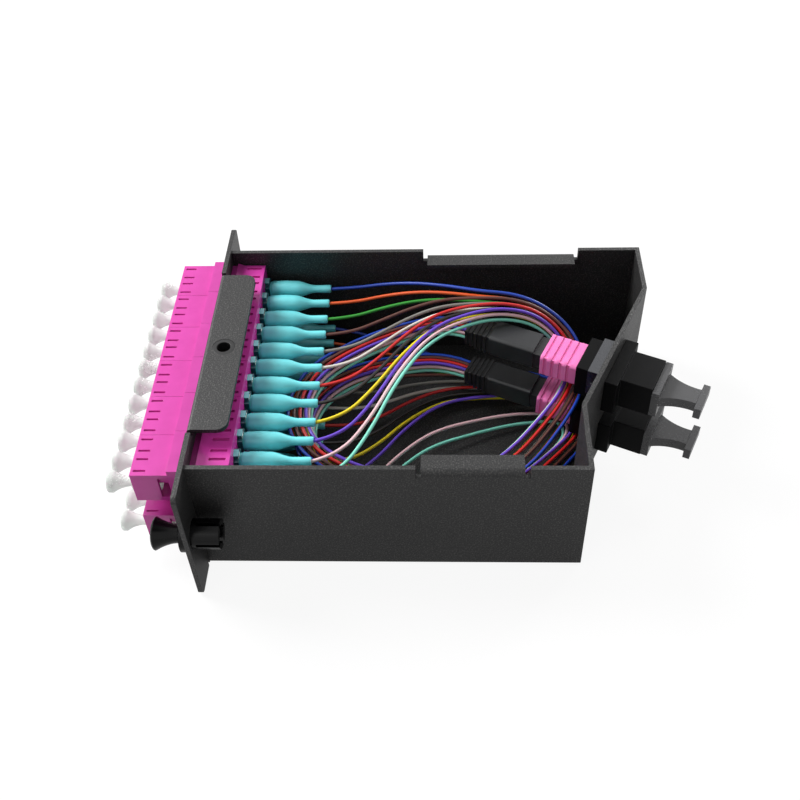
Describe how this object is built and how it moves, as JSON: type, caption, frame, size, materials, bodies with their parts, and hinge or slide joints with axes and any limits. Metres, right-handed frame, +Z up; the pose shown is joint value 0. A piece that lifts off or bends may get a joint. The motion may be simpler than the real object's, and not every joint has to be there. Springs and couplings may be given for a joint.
{
  "type": "fibre_cassette",
  "caption": "Open fibre breakout cassette: black folded tray, magenta LC duplex adapters in front, two MPO adapters in the angled rear wall, fibres looped inside",
  "frame": {"origin": "on the underside, at the middle of the front plate's rear face", "axes": "+X across the front plate towards the near side wall, +Y from the front plate into the tray, +Z up"},
  "size_m": [0.0994, 0.1484, 0.038],
  "materials": {
    "powder_coat": "fine textured matt black powder coat",
    "magenta_moulding": "satin moulded plastic, magenta",
    "plug_teal": "gloss dark teal plug moulding",
    "boot_aqua": "soft satin aqua elastomer",
    "cap_clear": "milky translucent moulding",
    "black_moulding": "satin black moulded plastic",
    "cap_black": "soft satin black moulding",
    "sleeve_rose": "satin pink moulded plastic",
    "spring_metal": "rolled stainless spring sheet",
    "nut_black": "black oxide steel",
    "latch_black": "satin black nylon",
    "buffer_blue": "blue 0.9 mm buffer, smooth satin",
    "buffer_orange": "orange 0.9 mm buffer, smooth satin",
    "buffer_green": "green 0.9 mm buffer, smooth satin",
    "buffer_brown": "brown 0.9 mm buffer, smooth satin",
    "buffer_slate": "slate 0.9 mm buffer, smooth satin",
    "buffer_white": "white 0.9 mm buffer, smooth satin",
    "buffer_red": "red 0.9 mm buffer, smooth satin",
    "buffer_black": "black 0.9 mm buffer, smooth satin",
    "buffer_yellow": "yellow 0.9 mm buffer, smooth satin",
    "buffer_violet": "violet 0.9 mm buffer, smooth satin",
    "buffer_rose": "rose 0.9 mm buffer, smooth satin",
    "buffer_aqua": "aqua 0.9 mm buffer, smooth satin"
  },
  "bodies": {
    "cassette": {"cassette_tray": "powder_coat", "cover_nut": "nut_black", "fibre_lower_01_blue": "buffer_blue", "fibre_lower_02_orange": "buffer_orange", "fibre_lower_03_green": "buffer_green", "fibre_lower_04_brown": "buffer_brown", "fibre_lower_05_slate": "buffer_slate", "fibre_lower_06_white": "buffer_white", "fibre_lower_07_red": "buffer_red", "fibre_lower_08_black": "buffer_black", "fibre_lower_09_yellow": "buffer_yellow", "fibre_lower_10_violet": "buffer_violet", "fibre_lower_11_rose": "buffer_rose", "fibre_lower_12_aqua": "buffer_aqua", "fibre_upper_01_blue": "buffer_blue", "fibre_upper_02_orange": "buffer_orange", "fibre_upper_03_green": "buffer_green", "fibre_upper_04_brown": "buffer_brown", "fibre_upper_05_slate": "buffer_slate", "fibre_upper_06_white": "buffer_white", "fibre_upper_07_red": "buffer_red", "fibre_upper_08_black": "buffer_black", "fibre_upper_09_yellow": "buffer_yellow", "fibre_upper_10_violet": "buffer_violet", "fibre_upper_11_rose": "buffer_rose", "fibre_upper_12_aqua": "buffer_aqua", "latch_grommet_left": "latch_black", "latch_grommet_right": "latch_black", "lc_adapter_lower_1": "magenta_moulding", "lc_adapter_lower_2": "magenta_moulding", "lc_adapter_lower_3": "magenta_moulding", "lc_adapter_lower_4": "magenta_moulding", "lc_adapter_lower_5": "magenta_moulding", "lc_adapter_lower_6": "magenta_moulding", "lc_adapter_upper_1": "magenta_moulding", "lc_adapter_upper_2": "magenta_moulding", "lc_adapter_upper_3": "magenta_moulding", "lc_adapter_upper_4": "magenta_moulding", "lc_adapter_upper_5": "magenta_moulding", "lc_adapter_upper_6": "magenta_moulding", "lc_boots_lower": "boot_aqua", "lc_boots_upper": "boot_aqua", "lc_connectors_lower": "plug_teal", "lc_connectors_upper": "plug_teal", "lc_dust_caps_lower": "cap_clear", "lc_dust_caps_upper": "cap_clear", "mpo_adapter_lower": "black_moulding", "mpo_adapter_upper": "black_moulding", "mpo_boot_lower": "black_moulding", "mpo_boot_upper": "black_moulding", "mpo_clip_lower": "spring_metal", "mpo_clip_upper": "spring_metal", "mpo_housing_lower": "black_moulding", "mpo_housing_upper": "black_moulding"},
    "latch_left": {"latch_plunger_left": "latch_black"},
    "latch_right": {"latch_plunger_right": "latch_black"},
    "sleeve_upper": {"mpo_sleeve_upper": "sleeve_rose"},
    "sleeve_lower": {"mpo_sleeve_lower": "sleeve_rose"},
    "cap_upper": {"mpo_dust_cap_upper": "cap_black"},
    "cap_lower": {"mpo_dust_cap_lower": "cap_black"}
  },
  "joints": [
    {"name": "latch_left_pull", "type": "slide", "parent": "cassette", "child": "latch_left", "axis": [0, -1, 0], "range_m": [0, 0.0045]},
    {"name": "latch_right_pull", "type": "slide", "parent": "cassette", "child": "latch_right", "axis": [0, -1, 0], "range_m": [0, 0.0045]},
    {"name": "sleeve_upper_slide", "type": "slide", "parent": "cassette", "child": "sleeve_upper", "axis": [-0.4222, -0.9065, 0], "range_m": [0, 0.0015], "stiffness_N_per_m": 400},
    {"name": "sleeve_lower_slide", "type": "slide", "parent": "cassette", "child": "sleeve_lower", "axis": [-0.4222, -0.9065, 0], "range_m": [0, 0.0015], "stiffness_N_per_m": 400},
    {"name": "cap_upper_pull", "type": "slide", "parent": "cassette", "child": "cap_upper", "axis": [0.4222, 0.9065, 0], "range_m": [0, 0.012]},
    {"name": "cap_lower_pull", "type": "slide", "parent": "cassette", "child": "cap_lower", "axis": [0.4222, 0.9065, 0], "range_m": [0, 0.012]}
  ]
}
